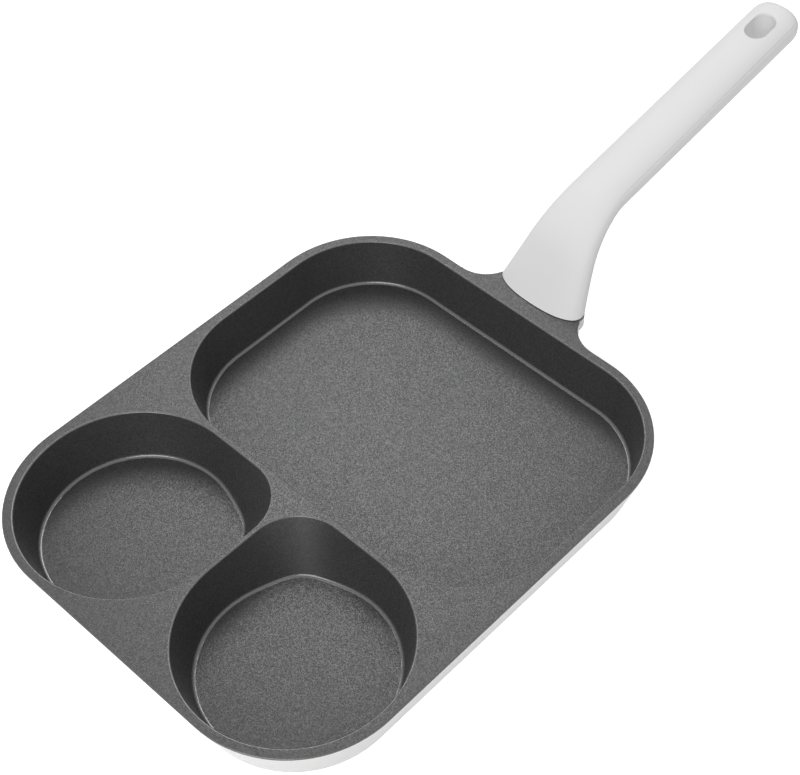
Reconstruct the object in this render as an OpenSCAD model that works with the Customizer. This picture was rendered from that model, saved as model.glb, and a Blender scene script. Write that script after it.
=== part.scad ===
// Divided egg pan: one cast body with two egg cups and one large well, a moulded handle and its fixing screw.
// Millimetres. Origin at the centre of the flat underside, +Z up, +X towards the handle.

/* [Pan body] */
// length of the rim along the handle direction
pan_l = 240.6; // [180:0.1:320]
// width of the rim
pan_w = 200; // [150:1:280]
// height from the underside to the rim
pan_h = 26.5; // [20:0.5:60]
// plan radius of the four rim corners
corner_r = 51; // [30:0.5:80]
// lean of the outer wall from upright, degrees
wall_draft = 16.7; // [3:0.1:22]
// radius of the lower outer edge
base_edge_r = 4; // [2:0.1:8]
// radius of the outer rim edge
rim_edge_r = 0.6; // [0.3:0.1:1.5]
// thickness of the floors
floor_t = 3.1; // [2:0.1:6]

/* [Large well] */
// flat rim width beside the large well
well_rim = 5.1; // [3:0.1:12]
// flat rim width between the large well and the handle end
well_end_rim = 4.7; // [3:0.1:12]
// length of the large well at the rim, along the handle direction
well_l = 135.1; // [90:0.1:200]
// plan radius of its corners at the rim
well_r = 45; // [20:0.5:70]
// lean of its wall from upright, degrees
well_draft = 9; // [3:0.1:25]

/* [Egg cups] */
// radius of each cup at the rim
cup_r = 47.1; // [30:0.1:60]
// flat rim width at the cup end of the pan
cup_end_rim = 4.1; // [2:0.1:12]
// width of the rib between the two cups, where they come closest
cup_rib = 1.8; // [1:0.1:10]
// lean of the round cup wall from upright, degrees
cup_draft = 13; // [3:0.1:25]
// plan radius of the pulled corner of each cup at the rim
cup_corner_r = 22.2; // [16:0.1:40]
// how far the pulled corner reaches past the round floor
cup_pull = 2.4; // [0:0.1:6]
// width of the pulled corner at the floor, degrees off its middle
cup_pull_w = 15; // [8:1:25]

/* [Edges of the wells] */
// radius along the top edge of each well
well_edge_r = 0.7; // [0.3:0.1:1.5]
// radius between a floor and its wall
floor_fillet_r = 1.5; // [0.8:0.1:4]

/* [Handle lug] */
// thickness of the lug under the handle
lug_t = 7; // [4:0.1:12]
// depth of the lug where it meets the pan's wall
lug_root_t = 14; // [8:0.5:20]
// plan radius of the flare between rim and lug
lug_flare_r = 16; // [6:0.5:30]
// radius along the lug's top edge
lug_edge_r = 0.9; // [0.3:0.1:2]
// gap between the lug and the handle
seam_gap = 0.4; // [0.1:0.05:1]
// width of the tang inside the handle
tang_w = 16; // [10:0.5:24]
// thickness of the tang
tang_t = 5; // [3:0.1:7]
// length of the tang above the lug, along the handle's root
tang_l = 18; // [12:0.5:24]

/* [Handle] */
// how far the middle of the handle's root stands out from the rim
handle_out = 12; // [6:0.1:30]
// slope of the handle's root, degrees
root_slope = 58.6; // [35:0.1:75]
// slope of the grip, degrees
grip_slope = 9.3; // [0:0.1:30]
// length of the straight root
root_l = 19.8; // [12:0.1:60]
// radius of the bend between root and grip
bend_r = 43.7; // [15:0.1:80]
// length of the grip past the bend
grip_l = 129.6; // [80:0.1:200]
// width of the root at the lug
root_w = 45.2; // [30:0.2:60]
// height of the root's section above its middle line
root_top = 7.4; // [5:0.1:15]
// depth of the root's section below its middle line
root_low = 8; // [5:0.1:15]
// length along the handle over which the root tapers to the grip
flare_l = 53.5; // [30:0.5:90]
// how quickly the root tapers
flare_pow = 1.35; // [1.1:0.05:2.5]
// width of the grip
grip_w = 25.1; // [18:0.1:40]
// height of the grip's section above its middle line
grip_top = 5; // [3:0.1:12]
// depth of the grip's section below its middle line
grip_low = 9; // [4:0.1:14]
// width of the grip at its end
tip_w = 24.6; // [18:0.1:40]
// height of the section above its middle line at the end
tip_top = 6.5; // [3:0.1:12]
// depth of the section below its middle line at the end
tip_low = 10.5; // [4:0.1:16]
// length over which the end is rounded in plan
tip_round = 9; // [5:0.5:20]
// length over which the end is rounded from the side
tip_edge = 4; // [2:0.5:10]
// squareness of the section: 2 is an ellipse
section_pow = 2.3; // [2:0.05:4]
// depth of the fine line along each side of the grip
line_depth = 0.35; // [0:0.05:0.8]
// clearance between the tang and its socket
socket_clear = 0.3; // [0.1:0.05:0.8]

/* [Hanging hole] */
// length of the hanging hole along the grip
hole_l = 16.2; // [8:0.1:30]
// width of the hanging hole
hole_w = 11; // [5:0.5:16]
// distance from the handle's end to the near end of the hole
hole_in = 10.2; // [4:0.1:20]
// radius round both edges of the hole
hole_edge_r = 1.2; // [0.3:0.1:2]

/* [Handle screw] */
// shank diameter of the handle screw
screw_d = 4; // [3:0.1:6]
// head diameter of the handle screw
screw_head_d = 8; // [5:0.1:12]
// height of the screw's head
screw_head_h = 2.6; // [1.5:0.1:4]
// distance from the lug to the screw, along the root
screw_at = 12; // [7:0.5:20]
// depth of the screw head's seat, from the root's underside
screw_sink = 3.4; // [2:0.1:5]
// clearance round the screw's head and shank in the handle
screw_clear = 0.2; // [0.05:0.05:0.6]
// clearance round the screw's shank in the tang
thread_clear = 0.05; // [0.02:0.01:0.2]

/* [Finish] */
// facets round an edge
arc_steps = 96; // [48:8:180]

/* [Hidden] */
$fn = arc_steps;
well_d = pan_h - floor_t;
well_w = pan_w - 2 * well_rim;
well_x = pan_l / 2 - well_end_rim - well_l / 2;
cup_x = -pan_l / 2 + cup_end_rim + cup_r;
cup_y = cup_r + cup_rib / 2;
cup_steps = 96;
bend_a = root_slope - grip_slope;
bend_l = bend_r * bend_a * PI / 180;
handle_l = root_l + bend_l + grip_l;
seam_x = pan_l / 2 + handle_out;
seam_z = pan_h + seam_gap;
line_at = 24;
lean_l = 26;
// a straight wall ends this far inside the round edge that it meets
tuck = 0.002;

// 2D half-section of a well, from its middle line out to the wall; the rim is at y = 0
module well_section(r, draft) {
    foot = [r - well_d * tan(draft) - floor_fillet_r * (1 - sin(draft)) / cos(draft), -well_d + floor_fillet_r];
    lip = [r + well_edge_r * (1 - sin(draft)) / cos(draft), -well_edge_r];
    out = [cos(draft), -sin(draft)];
    difference() {
        polygon([
            [0, 1],
            [lip[0], 1],
            lip,
            lip - (well_edge_r - tuck) * out,
            foot + (floor_fillet_r - tuck) * out,
            foot,
            [foot[0], -well_d],
            [0, -well_d]
        ]);
        translate(lip) circle(r = well_edge_r);
    }
    translate(foot) circle(r = floor_fillet_r);
}

// 2D half-section of the body's outside, from the middle line out to the wall; the underside is at y = 0
module outer_section(r) {
    top = [r - rim_edge_r * (1 + sin(wall_draft)) / cos(wall_draft), pan_h - rim_edge_r];
    low = [r - pan_h * tan(wall_draft) - base_edge_r * (1 - sin(wall_draft)) / cos(wall_draft), base_edge_r];
    out = [cos(wall_draft), -sin(wall_draft)];
    polygon([
        [0, 0],
        [low[0], 0],
        low,
        low + (base_edge_r - tuck) * out,
        top + (rim_edge_r - tuck) * out,
        top,
        [top[0], pan_h],
        [0, pan_h]
    ]);
    translate(low) circle(r = base_edge_r);
    translate(top) circle(r = rim_edge_r);
}

// sweeps a 2D half-section of radius r round a rectangle with corners of that radius
module round_sweep(l, w, r, z0, z1) {
    a = l / 2 - r;
    b = w / 2 - r;
    for (q = [[1, 1, 0], [-1, 1, 90], [-1, -1, 180], [1, -1, 270]])
        translate([q[0] * a, q[1] * b, 0]) rotate([0, 0, q[2]]) rotate_extrude(angle = 90) children();
    for (q = [[a, 0, b], [-a, 180, b]])
        translate([q[0], 0, 0]) rotate([0, 0, q[1]]) translate([0, q[2], 0]) rotate([90, 0, 0])
            linear_extrude(2 * q[2]) children();
    for (q = [[b, 90, a], [-b, 270, a]])
        translate([0, q[0], 0]) rotate([0, 0, q[1]]) translate([0, q[2], 0]) rotate([90, 0, 0])
            linear_extrude(2 * q[2]) children();
    translate([-a, -b, z0]) cube([2 * a, 2 * b, z1 - z0]);
}

module large_well() {
    translate([well_x, 0, pan_h])
        round_sweep(well_l, well_w, well_r, -well_d, 1) well_section(well_r, well_draft);
}

// an egg cup's reach from its middle in direction t, at the rim and at the floor; the pulled corner is at -45 degrees
function off_corner(t) = abs((t + 225) % 360 - 180);
function rim_reach(t) = let (
    d = off_corner(t),
    c = cup_r - cup_corner_r,
    m = c * (cos(45 - d) + sin(45 - d))
) d >= 45 ? cup_r : cup_r * tan(45 - d) <= c ? cup_r / cos(45 - d) : m + sqrt(cup_corner_r * cup_corner_r - 2 * c * c + m * m);
function floor_reach(t) = cup_r - well_d * tan(cup_draft) + cup_pull * exp(-pow(off_corner(t) / cup_pull_w, 2));

// the same section as well_section, as points [reach, height], for one direction of a cup
function cup_section(t) = let (
    r = rim_reach(t),
    a = atan((r - floor_reach(t)) / well_d),
    foot = [floor_reach(t) - floor_fillet_r * (1 - sin(a)) / cos(a), -well_d + floor_fillet_r],
    lip = [r + well_edge_r * (1 - sin(a)) / cos(a), -well_edge_r]
) concat(
    [[lip[0], 1]],
    [for (k = [0:3]) let (q = 90 + k * (90 - a) / 3) lip + well_edge_r * [cos(q), sin(q)]],
    [for (k = [0:4]) let (q = -a - k * (90 - a) / 4) foot + floor_fillet_r * [cos(q), sin(q)]]
);

// one egg cup: a round well with one corner pulled towards the middle of the pan
module egg_cup() {
    n = cup_steps;
    rows = [for (k = [0:n - 1]) cup_section(k * 360 / n)];
    m = len(rows[0]);
    translate([cup_x, cup_y, pan_h]) polyhedron(
        points = [for (j = [0:m - 1]) for (k = [0:n - 1]) let (q = rows[k][j], t = k * 360 / n) [q[0] * cos(t), q[0] * sin(t), q[1]]],
        faces = concat(
            [[for (k = [n - 1:-1:0]) k]],
            [for (j = [0:m - 2]) for (k = [0:n - 1]) each [
                [j * n + k, j * n + (k + 1) % n, (j + 1) * n + (k + 1) % n],
                [j * n + k, (j + 1) * n + (k + 1) % n, (j + 1) * n + k]
            ]],
            [[for (k = [0:n - 1]) (m - 1) * n + k]]
        )
    );
}

// position along the handle's middle line, from the seam
function line_turn(s) = s <= root_l ? root_slope : s >= root_l + bend_l ? grip_slope
    : root_slope - (s - root_l) / bend_r * 180 / PI;
function bend_point(t) = root_l * [cos(root_slope), sin(root_slope)]
    + bend_r * [sin(root_slope) - sin(t), cos(t) - cos(root_slope)];
function line_point(s) = [seam_x, seam_z] + (s <= root_l ? s * [cos(root_slope), sin(root_slope)]
    : bend_point(line_turn(s)) + max(0, s - root_l - bend_l) * [cos(grip_slope), sin(grip_slope)]);

// widths and depths along the handle
function clamp01(v) = min(1, max(0, v));
function taper(s) = pow(clamp01(1 - s / flare_l), flare_pow);
function round_off(s, len, p) = pow(1 - pow(clamp01((s - handle_l + len) / len), p), 1 / p);
function along(s) = clamp01((s - flare_l) / (handle_l - flare_l));
function blend(s, root, grip, tip) = grip + (root - grip) * taper(s) + (tip - grip) * along(s);
function half_w(s) = blend(s, root_w, grip_w, tip_w) / 2 * round_off(s, tip_round, 2.6);
function top_h(s) = blend(s, root_top, grip_top, tip_top) * round_off(s, tip_edge, 2);
function low_h(s) = blend(s, root_low, grip_low, tip_low) * round_off(s, tip_edge, 2);
// lean of a section from square: the first one lies flat on the lug
function lean(s) = (90 - root_slope) * pow(clamp01(1 - s / lean_l), 1.5);

// directions round a section, closer together at the fine side line
quarter = concat(
    [for (k = [0:3]) k * (line_at - 4) / 4],
    [for (k = [-2:2]) line_at + 2 * k],
    [for (k = [1:9]) line_at + 4 + k * (86 - line_at) / 9]
);
ring = concat(quarter, [for (k = [len(quarter) - 2:-1:0]) 180 - quarter[k]], [for (k = [1:20]) 180 + k * 180 / 21]);
function side_line(u) = let (d = min(abs(u - line_at), abs(180 - u - line_at))) line_depth * clamp01(1 - d / 3);
function spow(v, p) = sign(v) * pow(abs(v), p);
function section_point(s, u) = let (
    p = 2 / section_pow,
    cut = side_line(u) * clamp01((s - flare_l * 0.9) / 12) * round_off(s, tip_edge, 2),
    y = spow(cos(u), p) * half_w(s),
    v = spow(sin(u), p) * (u <= 180 ? top_h(s) : low_h(s)),
    k = 1 - cut / max(1, norm([y, v]))
) [y * k, v * k / cos(lean(s))];
function section(s) = let (c = line_point(s), t = line_turn(s) + lean(s))
    [for (u = ring) let (q = section_point(s, u)) [c[0] - sin(t) * q[1], q[0], c[1] + cos(t) * q[1]]];

stations = concat(
    [for (k = [0:27]) k * (root_l + bend_l) / 27],
    [for (k = [1:5]) root_l + bend_l + k * (grip_l - tip_round) / 5],
    [for (k = [1:13]) handle_l - tip_round + tip_round * sin(k * 89.2 / 13)]
);

module handle_form() {
    n = len(ring);
    m = len(stations);
    polyhedron(
        points = [for (s = stations) each section(s)],
        faces = concat(
            [[for (k = [0:n - 1]) k]],
            [for (i = [0:m - 2]) for (k = [0:n - 1]) each [
                [i * n + k, (i + 1) * n + k, (i + 1) * n + (k + 1) % n],
                [i * n + k, (i + 1) * n + (k + 1) % n, i * n + (k + 1) % n]
            ]],
            [[for (k = [n - 1:-1:0]) (m - 1) * n + k]]
        )
    );
}

// moves to the seam with +Z along the handle's root and +X towards its underside
module at_root() {
    translate([seam_x, 0, seam_z]) rotate([0, 90 - root_slope, 0]) children();
}

// 2D slot shape with round ends along y
module slot(w, t) {
    square([t, w - t], center = true);
    for (k = [-1, 1]) translate([0, k * (w - t) / 2]) circle(d = t);
}

// how far off the middle line the centre of each flare is
flare_y = root_w / 2 + sqrt(lug_flare_r * lug_flare_r - pow(max(0, lug_flare_r - handle_out), 2));

module lug_plan() {
    out = pan_l / 2;
    difference() {
        translate([out - 9, -flare_y]) square([9 + handle_out, 2 * flare_y]);
        for (k = [-1, 1]) translate([out + lug_flare_r, k * flare_y]) circle(r = lug_flare_r);
        for (k = [-1, 1]) translate([out + lug_flare_r, k * flare_y]) square([handle_out, 2 * flare_y - root_w], center = true);
    }
    polygon([for (q = section(0)) [q[0], q[1]]]);
}

module lug() {
    back = pan_l / 2 - 9;
    tip = seam_x + root_low / cos(90 - root_slope) + 1;
    intersection() {
        linear_extrude(pan_h) lug_plan();
        rotate([90, 0, 0]) translate([0, 0, -pan_w / 2]) linear_extrude(pan_w) polygon([
            [back, pan_h - lug_root_t],
            [pan_l / 2 - 1, pan_h - lug_root_t],
            [seam_x - 2, pan_h - lug_t],
            [tip, pan_h - lug_t],
            [tip, pan_h],
            [back, pan_h]
        ]);
    }
}

// rounds the top edge of both flares
module lug_round() {
    e = lug_edge_r;
    for (q = [[-1, 90], [1, 180]]) translate([pan_l / 2 + lug_flare_r, q[0] * flare_y, pan_h]) rotate([0, 0, q[1]])
        rotate_extrude(angle = 90) difference() {
            translate([lug_flare_r - 1, -e]) square([e + 1, e + 1]);
            translate([lug_flare_r + e - tuck, tuck - e]) circle(r = e);
        }
}

module pan_body() {
    color([0.36, 0.37, 0.38]) difference() {
        union() {
            round_sweep(pan_l, pan_w, corner_r, 0, pan_h) outer_section(corner_r);
            lug();
            at_root() translate([0, 0, -4]) linear_extrude(tang_l + 4) slot(tang_w, tang_t);
        }
        lug_round();
        large_well();
        egg_cup();
        mirror([0, 1, 0]) egg_cup();
        at_root() translate([0, 0, screw_at]) rotate([0, 90, 0]) cylinder(d = screw_d + 2 * thread_clear, h = 4 * tang_t, center = true);
    }
}

// distance from the root's middle line to the screw head's seat
seat = low_h(screw_at) - screw_sink;

// the hanging hole: an oval hole that opens out over a rounded edge at both ends
module hanging_hole() {
    n = 64;
    s = handle_l - hole_in - hole_l / 2;
    p = line_point(s);
    e = hole_edge_r;
    edge = [[0, -1], [0.134, -0.5], [0.5, -0.134], [2.5, 0.402]] * e;
    rows = concat([for (k = [3:-1:0]) [edge[k][0], -low_h(s) - edge[k][1]]], [for (q = edge) [q[0], top_h(s) + q[1]]]);
    m = len(rows);
    translate([p[0], 0, p[1]]) rotate([0, -grip_slope, 0]) polyhedron(
        points = [for (q = rows) for (k = [0:n - 1]) let (
            a = (k + 0.5) * 360 / n,
            r = hole_w / 2 + q[0]
        ) [r * cos(a) + sign(cos(a)) * (hole_l - hole_w) / 2, r * sin(a), q[1]]],
        faces = concat(
            [[for (k = [0:n - 1]) k]],
            [for (i = [0:m - 2]) for (k = [0:n - 1]) each [
                [i * n + k, (i + 1) * n + k, (i + 1) * n + (k + 1) % n],
                [i * n + k, (i + 1) * n + (k + 1) % n, i * n + (k + 1) % n]
            ]],
            [[for (k = [n - 1:-1:0]) (m - 1) * n + k]]
        )
    );
}

module handle() {
    color([0.86, 0.86, 0.85]) difference() {
        handle_form();
        at_root() translate([0, 0, -tang_l]) linear_extrude(2 * tang_l + socket_clear)
            slot(tang_w + 2 * socket_clear, tang_t + 2 * socket_clear);
        at_root() translate([seat, 0, screw_at]) rotate([0, 90, 0]) cylinder(d = screw_head_d + 2 * screw_clear, h = 20);
        at_root() translate([-tang_t / 2 - 2, 0, screw_at]) rotate([0, 90, 0]) cylinder(d = screw_d + 2 * screw_clear, h = 20);
        hanging_hole();
    }
}

module handle_screw() {
    color([0.72, 0.73, 0.74]) at_root() translate([seat, 0, screw_at]) rotate([0, 90, 0]) difference() {
        union() {
            cylinder(d = screw_head_d, h = screw_head_h);
            translate([0, 0, -seat - tang_t / 2 - 1.5]) cylinder(d = screw_d, h = seat + tang_t / 2 + 2);
        }
        for (k = [0, 90]) rotate(k) translate([-2.2, -0.5, screw_head_h - 1.2]) cube([4.4, 1, 2]);
    }
}

pan_body();
handle();
handle_screw();
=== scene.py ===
"""Looks of the divided egg pan: speckled coating, white outer wall, moulded handle, studio."""

import math

import bmesh
import bpy
from bpy.props import FloatProperty, FloatVectorProperty, PointerProperty
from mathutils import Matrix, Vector


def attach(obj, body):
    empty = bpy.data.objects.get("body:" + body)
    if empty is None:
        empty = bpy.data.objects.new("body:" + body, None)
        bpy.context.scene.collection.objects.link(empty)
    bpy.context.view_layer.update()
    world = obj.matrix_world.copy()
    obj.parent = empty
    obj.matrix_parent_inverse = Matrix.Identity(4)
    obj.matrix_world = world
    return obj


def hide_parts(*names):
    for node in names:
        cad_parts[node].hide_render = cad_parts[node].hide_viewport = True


bl_info = {
    "name": "Divided egg pan",
    "version": (1, 0, 0),
    "blender": (4, 5, 0),
    "location": "3D View > Sidebar > Egg pan",
    "description": "Dresses the packed egg pan and sets its studio",
    "category": "Object",
}

MM = 0.001
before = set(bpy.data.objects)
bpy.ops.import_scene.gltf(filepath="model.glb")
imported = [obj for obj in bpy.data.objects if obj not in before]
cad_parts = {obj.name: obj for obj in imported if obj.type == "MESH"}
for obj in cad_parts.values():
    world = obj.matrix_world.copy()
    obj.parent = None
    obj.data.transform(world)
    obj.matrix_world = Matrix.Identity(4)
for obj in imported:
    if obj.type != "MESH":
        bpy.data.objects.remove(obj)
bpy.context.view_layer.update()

# Places on the pan.
RIM_Z = 26.5 * MM  # top of the rim, the ribs and the lug
FLOOR_Z = 3.1 * MM  # floor of the wells
LIP_REACH = 0.75 * MM  # how far the rounded lips reach below the rim
FILLET_REACH = 1.6 * MM  # how far the floor fillets reach above the floor
LUG_X = 118.3 * MM  # just inside the wall that the lug stands out from
LUG_LINE_X = (121.5 * MM, 122.5 * MM)  # here the rim's colour line steps down to the lug's

# Which way a face looks, by its normal.
TOP_SLACK = 0.01 * MM  # a face this close to the rim's top belongs to it
DOWNWARD = -0.2  # normal z below this: the leaning outer wall or the underside
WELLWARD = -0.3  # normal x below this: it looks back towards the wells
ROUNDED = (0.25, 0.995)  # size of normal z on lips and fillets

# Share of painted highlight (a lighter colour) and extra gloss on a face, from 0 to 1, kept as a
# face attribute.
EDGE_HIGHLIGHT = "painted_edge_highlight"
LIP_HIGHLIGHT = 0.85
FILLET_HIGHLIGHT = 1.0

# The speckle: each grain is a cell with a random value, which sets its grey, its
# roughness and its height.
GREY_SPAN = (0.2, 0.8)  # values of the darkest and lightest grains
GREYS = (0.45, 1.55)  # their greys, as shares of the coating's colour
FLECK_SPAN = (0.7, 0.95)  # values at which flecks begin and are strongest
FLECK_SHARE = 0.35
ROUGH_SPAN = (0.1, 0.9)  # values of the dullest and shiniest grains
ROUGH_STEPS = (0.16, -0.13)  # what they add to the coating's roughness
HIGHLIGHT_SHARE = 0.3  # share of the edge colour where the highlight is painted strongest
EDGE_POLISH = 0.26  # roughness lost there
COATING_SPECULAR = (0.6, 1.0)  # specular level away from and on the highlighted lips and fillets

# The outer finish and its line against the coating.
LINE_BLUR = 0.08 * MM
LINE_WAVER = 0.06 * MM
OUTER_ROUGHNESS = (0.42, 0.36)
OUTER_SPECULAR = (0.25, 0.6)  # specular level of the white and of the lapped coating

NOISE_SPAN = (0.3, 0.7)  # nearly all noise lies between these
MIX_SOCKETS = {"FLOAT": (2, 3, 0), "RGBA": (6, 7, 2)}  # inputs A and B, output
WHITE = (1, 1, 1, 1)
STEEL_DARK = (0.52, 0.53, 0.54)
STEEL_LIGHT = (0.66, 0.67, 0.68)
STEEL_ROUGHNESS = (0.28, 0.40)
HANDLE_GRAIN = 0.04  # roughness that the moulding's grain adds or takes away

# Joining the loose triangles of a CAD mesh, in metres.
WELD = 2e-7
SLIVER = 1e-7
FACE_WEIGHT = 90  # above 50, large faces lead the smooth shading

# The studio, in metres and degrees, with the lens and its sensor in millimetres.
FLOOR_GREY = 0.8
FLOOR_LIFT = 0.65  # glow that brings the lit floor to white for the camera
FLOOR_SINK = 0.05 * MM
LAMP_TARGET = Vector((0.03, 0, 0.02))
KEY_LAMP = {"size": 0.75, "azimuth": 50, "elevation": 53, "distance": 1.5}
FRONT_LAMP = {"size": 1.2, "azimuth": 202, "elevation": 34, "distance": 1.6}
CAMERA_PLACE = (-0.2550117, -0.3092310, 0.5398386)
CAMERA_TURN = (36.70618, 0.28378, -47.35775)
CAMERA_LENS = 70.617
CAMERA_SENSOR = 36
CAMERA_SHIFT = (-0.0749, 0.1311)
CAMERA_CLIP = (0.05, 50)


class CoatingSettings(bpy.types.PropertyGroup):
    """Non-stick coating of the wells, the rim and the lug."""

    colour: FloatVectorProperty(
        name="Coating colour", description="Dark grey of the coating", subtype="COLOR",
        size=3, default=(0.036, 0.036, 0.0364), min=0, max=1,
    )
    fleck: FloatVectorProperty(
        name="Fleck colour", description="Light specks in the coating", subtype="COLOR",
        size=3, default=(0.075, 0.075, 0.076), min=0, max=1,
    )
    # The edge colour is a painted highlight: a lighter grey put on the lips and floor fillets.
    edge: FloatVectorProperty(
        name="Edge colour", description="Where the coating is thin over an edge", subtype="COLOR",
        size=3, default=(0.2, 0.2, 0.2), min=0, max=1,
    )
    grain: FloatProperty(
        name="Grain", description="Size of one grain of the speckle", subtype="DISTANCE",
        unit="LENGTH", default=0.36 * MM, min=0.2 * MM, max=4 * MM,
    )
    roughness: FloatProperty(
        name="Roughness", description="How matte the coating is", subtype="FACTOR",
        default=0.4, min=0, max=1,
    )


class OuterSettings(bpy.types.PropertyGroup):
    """White finish of the outer wall and the underside."""

    colour: FloatVectorProperty(
        name="Outer colour", description="White of the outer wall", subtype="COLOR",
        size=3, default=(0.77, 0.77, 0.767), min=0, max=1,
    )
    line_drop: FloatProperty(
        name="Colour line", description="How far the dark coating reaches down over the rim",
        subtype="DISTANCE", unit="LENGTH", default=0.95 * MM, min=0.2 * MM, max=6 * MM,
    )
    lug_drop: FloatProperty(
        name="Lug depth", description="How far the dark coating reaches down the lug",
        subtype="DISTANCE", unit="LENGTH", default=1.6 * MM, min=1 * MM, max=20 * MM,
    )


class HandleSettings(bpy.types.PropertyGroup):
    """Satin white moulding of the handle."""

    colour: FloatVectorProperty(
        name="Handle colour", description="White of the moulding", subtype="COLOR",
        size=3, default=(0.79, 0.79, 0.788), min=0, max=1,
    )
    roughness: FloatProperty(
        name="Roughness", description="How satin the moulding is", subtype="FACTOR",
        default=0.52, min=0, max=1,
    )


class StudioSettings(bpy.types.PropertyGroup):
    """Lamps and floor."""

    key_power: FloatProperty(
        name="Key power", description="Power of the lamp behind the pan", unit="POWER",
        default=6.6, min=0, max=500,
    )
    front_power: FloatProperty(
        name="Front power", description="Power of the low lamp in front of the pan",
        unit="POWER", default=12.5, min=0, max=500,
    )
    fill: FloatProperty(
        name="Fill", description="Strength of the even light from all round",
        subtype="FACTOR", default=0.45, min=0, max=2,
    )
    floor_radius: FloatProperty(
        name="Floor radius", description="Reach of the pale floor", subtype="DISTANCE",
        unit="LENGTH", default=6.0, min=1, max=30,
    )


class EggPanSettings(bpy.types.PropertyGroup):
    """All the settings of the egg pan."""

    coating: PointerProperty(type=CoatingSettings)
    outer: PointerProperty(type=OuterSettings)
    handle: PointerProperty(type=HandleSettings)
    studio: PointerProperty(type=StudioSettings)


def settings():
    """The scene's settings of the egg pan."""
    return bpy.context.scene.egg_pan


class Graph:
    """Short calls for building the nodes of one tree."""

    def __init__(self, tree):
        self.tree = tree

    def add(self, kind, **values):
        """A new node, with values for its own settings or else for its sockets."""
        node = self.tree.nodes.new(kind)
        for key, value in values.items():
            if hasattr(node, key):
                setattr(node, key, value)
            else:
                node.inputs[key].default_value = value
        return node

    def put(self, value, socket):
        """Links an output to the socket, or sets a plain value there."""
        if isinstance(value, bpy.types.NodeSocket):
            self.tree.links.new(value, socket)
        else:
            socket.default_value = value

    def calc(self, operation, first, second):
        """The result of a Math node."""
        node = self.add("ShaderNodeMath", operation=operation)
        self.put(first, node.inputs[0])
        self.put(second, node.inputs[1])
        return node.outputs[0]

    def choose(self, share, first, second):
        """The first shader at share 0, the second at share 1."""
        node = self.add("ShaderNodeMixShader")
        for source, socket in zip((share, first, second), node.inputs):
            self.put(source, socket)
        return node.outputs[0]

    def seen(self):
        """1 for rays from the camera, off gloss or through glass, 0 for light."""
        path = self.add("ShaderNodeLightPath").outputs
        either = self.calc("MAXIMUM", path["Is Camera Ray"], path["Is Glossy Ray"])
        return self.calc("MAXIMUM", either, path["Is Transmission Ray"])


class Finish(Graph):
    """Nodes of one piece's material, with patterns on Object coordinates."""

    def __init__(self, name):
        self.material = bpy.data.materials.new(name)
        self.material.use_nodes = True
        super().__init__(self.material.node_tree)
        self.coords = self.add("ShaderNodeTexCoord").outputs["Object"]

    def noise(self, size, detail=2.0, roughness=0.6):
        """Cloudy noise whose grains are about size metres."""
        node = self.add(
            "ShaderNodeTexNoise", Scale=0.5 / size, Detail=detail, Roughness=roughness
        )
        self.put(self.coords, node.inputs["Vector"])
        return node.outputs["Fac"]

    def spread(self, value, low, high, to_low=0.0, to_high=1.0):
        """Maps low..high to to_low..to_high, held inside it."""
        node = self.add("ShaderNodeMapRange", clamp=True)
        names = ("Value", "From Min", "From Max", "To Min", "To Max")
        for key, number in zip(names, (value, low, high, to_low, to_high)):
            self.put(number, node.inputs[key])
        return node.outputs["Result"]

    def mix(self, share, first, second, kind="RGBA"):
        """From first at share 0 to second at share 1: colours, or numbers if kind is FLOAT."""
        node = self.add("ShaderNodeMix", data_type=kind)
        self.put(share, node.inputs["Factor"])
        *inputs, result = MIX_SOCKETS[kind]
        for value, index in zip((first, second), inputs):
            if kind == "RGBA" and not isinstance(value, bpy.types.NodeSocket):
                value = (*value, 1.0)
            self.put(value, node.inputs[index])
        return node.outputs[result]

    def clouded(self, colour, size, dip):
        """The colour, with faint clouds of about size metres down to dip of its value."""
        cloud = self.spread(self.noise(size, roughness=0.5), *NOISE_SPAN)
        return self.mix(cloud, shade(colour, dip), colour)

    def bump(self, height, strength, distance):
        """Surface normal with the height raised by up to distance metres."""
        node = self.add("ShaderNodeBump", Strength=strength, Distance=distance)
        self.put(height, node.inputs["Height"])
        return node.outputs["Normal"]

    def surface(self, **values):
        """Puts the values on the shader's own sockets and returns the material."""
        shader = self.tree.nodes["Principled BSDF"]
        for key, value in values.items():
            self.put(value, shader.inputs[key.replace("_", " ")])
        return self.material


def shade(colour, share):
    """The colour with each channel times share."""
    return tuple(channel * share for channel in colour)


def coating_look(nodes, look):
    """Colour, roughness, height and specular level of the speckled coating."""
    cells = nodes.add("ShaderNodeTexVoronoi", Scale=1.0 / look.grain, feature="F1")
    nodes.put(nodes.coords, cells.inputs["Vector"])
    grain = cells.outputs["Color"]
    dark, light = (shade(look.colour, share) for share in GREYS)
    colour = nodes.mix(nodes.spread(grain, *GREY_SPAN), dark, light)
    flecks = nodes.spread(grain, *FLECK_SPAN, 0.0, FLECK_SHARE)
    colour = nodes.mix(flecks, colour, look.fleck)

    # Painted highlight: lips and floor fillets get a lighter colour from the edge colour; their
    # roughness also drops and their specular level rises.
    highlight = nodes.add("ShaderNodeAttribute", attribute_name=EDGE_HIGHLIGHT).outputs["Fac"]
    highlighted = nodes.calc("MULTIPLY", nodes.calc("MULTIPLY", highlight, highlight), HIGHLIGHT_SHARE)
    colour = nodes.mix(highlighted, colour, look.edge)
    dull, shiny = (look.roughness + step for step in ROUGH_STEPS)
    rough = nodes.spread(grain, *ROUGH_SPAN, dull, shiny)
    rough = nodes.calc("SUBTRACT", rough, nodes.calc("MULTIPLY", highlight, EDGE_POLISH))
    return colour, rough, grain, nodes.spread(highlight, 0, 1, *COATING_SPECULAR)


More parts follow.
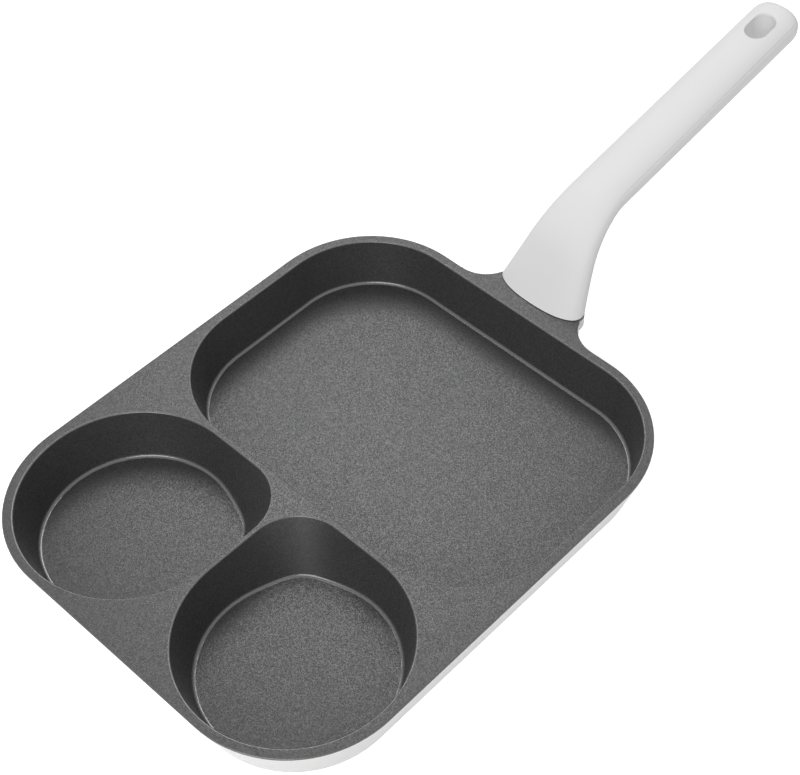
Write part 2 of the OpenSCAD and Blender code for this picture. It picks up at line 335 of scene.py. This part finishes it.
def coating_material():
    """Speckled non-stick coating, with a painted highlight (lighter colour) and more gloss on the
    lips and floor fillets.
    """
    nodes = Finish("speckled_coating")
    colour, rough, height, gloss = coating_look(nodes, settings().coating)
    return nodes.surface(
        Base_Color=colour,
        Roughness=rough,
        Specular_IOR_Level=gloss,
        Normal=nodes.bump(height, strength=0.35, distance=0.05 * MM),
    )


def coated_share(nodes, look):
    """1 above the wavering line where the coating ends on the rim and the lug, else 0."""
    axes = nodes.add("ShaderNodeSeparateXYZ")
    nodes.put(nodes.coords, axes.inputs["Vector"])
    noise = nodes.noise(6 * MM, detail=3.0)
    waver = nodes.spread(noise, *NOISE_SPAN, -LINE_WAVER, LINE_WAVER)
    height = nodes.calc("ADD", axes.outputs["Z"], waver)
    rim, lug = (
        nodes.spread(height, RIM_Z - drop, RIM_Z - drop + LINE_BLUR)
        for drop in (look.line_drop, look.lug_drop)
    )
    on_lug = nodes.spread(axes.outputs["X"], *LUG_LINE_X)
    return nodes.calc("MAXIMUM", rim, nodes.calc("MULTIPLY", on_lug, lug))


def outer_material():
    """White finish, with the dark coating lapping down over the rim and the lug."""
    nodes = Finish("outer_white")
    look = settings().outer
    coat, coat_rough, height, _ = coating_look(nodes, settings().coating)
    coated = coated_share(nodes, look)
    white = nodes.clouded(look.colour, size=40 * MM, dip=0.985)
    white_rough = nodes.spread(nodes.noise(0.6 * MM), *NOISE_SPAN, *OUTER_ROUGHNESS)
    return nodes.surface(
        Base_Color=nodes.mix(coated, white, coat),
        Roughness=nodes.mix(coated, white_rough, coat_rough, kind="FLOAT"),
        Specular_IOR_Level=nodes.spread(coated, 0, 1, *OUTER_SPECULAR),
        Normal=nodes.bump(height, strength=0.08, distance=0.03 * MM),
    )


def handle_material():
    """Satin white moulding with a fine grain."""
    nodes = Finish("handle_moulding_white")
    look = settings().handle
    fine = nodes.noise(0.35 * MM)
    dull, shiny = look.roughness + HANDLE_GRAIN, look.roughness - HANDLE_GRAIN
    return nodes.surface(
        Base_Color=nodes.clouded(look.colour, size=30 * MM, dip=0.98),
        Roughness=nodes.spread(fine, *NOISE_SPAN, dull, shiny),
        Specular_IOR_Level=0.4,
        Normal=nodes.bump(fine, strength=0.12, distance=0.02 * MM),
    )


def steel_material():
    """Plain steel of the screw, with a fine grain."""
    nodes = Finish("screw_steel")
    fine = nodes.noise(0.3 * MM)
    return nodes.surface(
        Base_Color=nodes.mix(fine, STEEL_DARK, STEEL_LIGHT),
        Roughness=nodes.spread(fine, *NOISE_SPAN, *STEEL_ROUGHNESS),
        Metallic=1.0,
    )


def merged_copy(node, name, sharp_deg):
    """A copy of a CAD node with its loose triangles joined, smooth up to sharp_deg."""
    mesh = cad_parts[node].data.copy()
    mesh.name = name
    mesh.materials.clear()
    bm = bmesh.new()
    bm.from_mesh(mesh)
    bmesh.ops.remove_doubles(bm, verts=bm.verts, dist=WELD)
    bmesh.ops.dissolve_degenerate(bm, edges=bm.edges, dist=SLIVER)
    for face in bm.faces:
        face.smooth = True
    limit = math.radians(sharp_deg)
    for edge in bm.edges:
        edge.smooth = len(edge.link_faces) == 2 and edge.calc_face_angle(0) < limit
    return mesh, bm


def finish_piece(mesh, bm, name, node, slot_name, *materials):
    """Writes the mesh, gives it its materials, hangs the piece under the root body and hides the
    CAD node.
    """
    mesh.clear_geometry()
    bm.to_mesh(mesh)
    bm.free()
    for material in materials:
        mesh.materials.append(material)
    piece = bpy.data.objects.new(name, mesh)
    bpy.context.scene.collection.objects.link(piece)
    weighted = piece.modifiers.new("flat faces stay flat", "WEIGHTED_NORMAL")
    weighted.keep_sharp = True
    weighted.weight = FACE_WEIGHT
    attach(piece, "root")
    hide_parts(node)


def is_outside(centre, normal):
    """True for a face of the outer wall, the underside or the lug's sides."""
    if centre.z > RIM_Z - TOP_SLACK:
        return False
    if normal.z < DOWNWARD:
        return True
    on_lug = centre.x > LUG_X and centre.z < RIM_Z - 2 * TOP_SLACK
    return on_lug and normal.x > WELLWARD


def lip_and_fillet_highlight(centre, normal):
    """Share of painted highlight and extra gloss on this face: more than 0 on lips and floor
    fillets.
    """
    low, high = ROUNDED
    if not low < abs(normal.z) < high:
        return 0.0
    if centre.z > RIM_Z - LIP_REACH:
        return LIP_HIGHLIGHT
    return FILLET_HIGHLIGHT if FLOOR_Z < centre.z < FLOOR_Z + FILLET_REACH else 0.0


class EGGPAN_OT_body(bpy.types.Operator):
    """Dresses the cast body in its coating and its white outer finish"""

    bl_idname = "eggpan.body"
    bl_label = "Pan body"

    def execute(self, context):
        mesh, bm = merged_copy("pan_body", "coated_pan", sharp_deg=32)
        # Lips and floor fillets get a share of painted highlight and extra gloss, kept as a face
        # attribute.
        highlight = bm.faces.layers.float.new(EDGE_HIGHLIGHT)
        for face in bm.faces:
            centre, normal = face.calc_center_median(), face.normal
            if is_outside(centre, normal):
                face.material_index = 1
            else:
                face.material_index = 0
                face[highlight] = lip_and_fillet_highlight(centre, normal)
        finish_piece(
            mesh, bm, "coated_pan", "pan_body", "coated_casting",
            coating_material(), outer_material(),
        )
        return {"FINISHED"}


class EGGPAN_OT_handle(bpy.types.Operator):
    """Dresses the moulded handle"""

    bl_idname = "eggpan.handle"
    bl_label = "Handle"

    def execute(self, context):
        mesh, bm = merged_copy("handle", "handle_moulding", sharp_deg=40)
        finish_piece(
            mesh, bm, "handle_moulding", "handle", "handle_plastic", handle_material()
        )
        return {"FINISHED"}


class EGGPAN_OT_screw(bpy.types.Operator):
    """Gives the handle's screw its steel"""

    bl_idname = "eggpan.screw"
    bl_label = "Handle screw"

    def execute(self, context):
        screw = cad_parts["handle_screw"]
        screw.data.materials.clear()
        screw.data.materials.append(steel_material())
        return {"FINISHED"}


def studio_world(fill):
    """Even light of strength fill, seen as plain white by the camera and in gloss."""
    world = bpy.data.worlds.new("studio")
    bpy.context.scene.world = world
    world.use_nodes = True
    world.node_tree.nodes.clear()
    nodes = Graph(world.node_tree)
    light = nodes.add("ShaderNodeBackground", Color=WHITE, Strength=fill).outputs[0]
    shown = nodes.add("ShaderNodeBackground", Color=WHITE, Strength=1.0).outputs[0]
    output = nodes.add("ShaderNodeOutputWorld")
    nodes.put(nodes.choose(nodes.seen(), light, shown), output.inputs["Surface"])


def floor_material():
    """Pale floor that shows white to the camera and keeps the pan's shadow."""
    material = bpy.data.materials.new("studio_floor")
    material.use_nodes = True
    nodes = Graph(material.node_tree)
    shader = nodes.tree.nodes["Principled BSDF"]
    shader.inputs["Base Color"].default_value = (FLOOR_GREY, FLOOR_GREY, FLOOR_GREY, 1)
    shader.inputs["Roughness"].default_value = 0.9
    shader.inputs["Specular IOR Level"].default_value = 0.0
    dark = nodes.add("ShaderNodeEmission", Strength=0.0).outputs[0]
    glow = nodes.add("ShaderNodeEmission", Strength=FLOOR_LIFT).outputs[0]
    both = nodes.add("ShaderNodeAddShader")
    nodes.put(shader.outputs[0], both.inputs[0])
    nodes.put(nodes.choose(nodes.seen(), dark, glow), both.inputs[1])
    nodes.put(both.outputs[0], nodes.tree.nodes["Material Output"].inputs["Surface"])
    return material


def studio_floor(radius):
    """Round floor just under the pan."""
    bm = bmesh.new()
    bmesh.ops.create_circle(bm, cap_ends=True, segments=96, radius=radius)
    bmesh.ops.translate(bm, verts=bm.verts, vec=(0, 0, -FLOOR_SINK))
    mesh = bpy.data.meshes.new("floor")
    bm.to_mesh(mesh)
    bm.free()
    mesh.materials.append(floor_material())
    floor = bpy.data.objects.new("floor", mesh)
    bpy.context.scene.collection.objects.link(floor)


def area_lamp(name, power, size, azimuth, elevation, distance):
    """Round lamp of size metres that looks at the pan."""
    lamp = bpy.data.lights.new(name, "AREA")
    lamp.shape = "DISK"
    lamp.size = size
    lamp.energy = power
    turn, rise = math.radians(azimuth), math.radians(elevation)
    level = math.cos(rise)
    back = Vector((math.cos(turn) * level, math.sin(turn) * level, math.sin(rise)))
    obj = bpy.data.objects.new(name, lamp)
    bpy.context.scene.collection.objects.link(obj)
    obj.location = LAMP_TARGET + back * distance
    obj.rotation_euler = back.to_track_quat("Z", "Y").to_euler()


def photo_camera():
    """Camera at the photograph's place and angle."""
    camera = bpy.data.cameras.new("camera")
    camera.sensor_width = CAMERA_SENSOR
    camera.lens = CAMERA_LENS
    camera.shift_x, camera.shift_y = CAMERA_SHIFT
    camera.clip_start, camera.clip_end = CAMERA_CLIP
    obj = bpy.data.objects.new("camera", camera)
    obj.location = CAMERA_PLACE
    obj.rotation_euler = [math.radians(angle) for angle in CAMERA_TURN]
    bpy.context.scene.collection.objects.link(obj)
    bpy.context.scene.camera = obj


class EGGPAN_OT_studio(bpy.types.Operator):
    """Sets the floor, the lamps and the camera"""

    bl_idname = "eggpan.studio"
    bl_label = "Studio"

    def execute(self, context):
        look = settings().studio
        studio_world(look.fill)
        studio_floor(look.floor_radius)
        area_lamp("key", look.key_power, **KEY_LAMP)
        area_lamp("front", look.front_power, **FRONT_LAMP)
        photo_camera()
        context.scene.view_settings.view_transform = "Standard"
        return {"FINISHED"}


class EGGPAN_PT_panel(bpy.types.Panel):
    """Steps and settings of the egg pan"""

    bl_idname = "EGGPAN_PT_panel"
    bl_label = "Egg pan"
    bl_space_type = "VIEW_3D"
    bl_region_type = "UI"
    bl_category = "Egg pan"

    def draw(self, context):
        for step in STEPS:
            self.layout.operator(step.bl_idname)
        look = context.scene.egg_pan
        for group in (look.coating, look.outer, look.handle, look.studio):
            box = self.layout.box()
            for name in group.__annotations__:
                box.prop(group, name)


STEPS = (EGGPAN_OT_body, EGGPAN_OT_handle, EGGPAN_OT_screw, EGGPAN_OT_studio)
CLASSES = (
    CoatingSettings, OuterSettings, HandleSettings, StudioSettings, EggPanSettings,
    *STEPS, EGGPAN_PT_panel,
)


def register():
    """Registers the classes and the scene's settings."""
    for cls in CLASSES:
        bpy.utils.register_class(cls)
    bpy.types.Scene.egg_pan = PointerProperty(type=EggPanSettings)


def unregister():
    """Takes the settings and the classes out again."""
    del bpy.types.Scene.egg_pan
    for cls in reversed(CLASSES):
        bpy.utils.unregister_class(cls)


def main():
    register()
    bpy.ops.eggpan.body()
    bpy.ops.eggpan.handle()
    bpy.ops.eggpan.screw()
    bpy.ops.eggpan.studio()


if __name__ == "__main__":
    main()
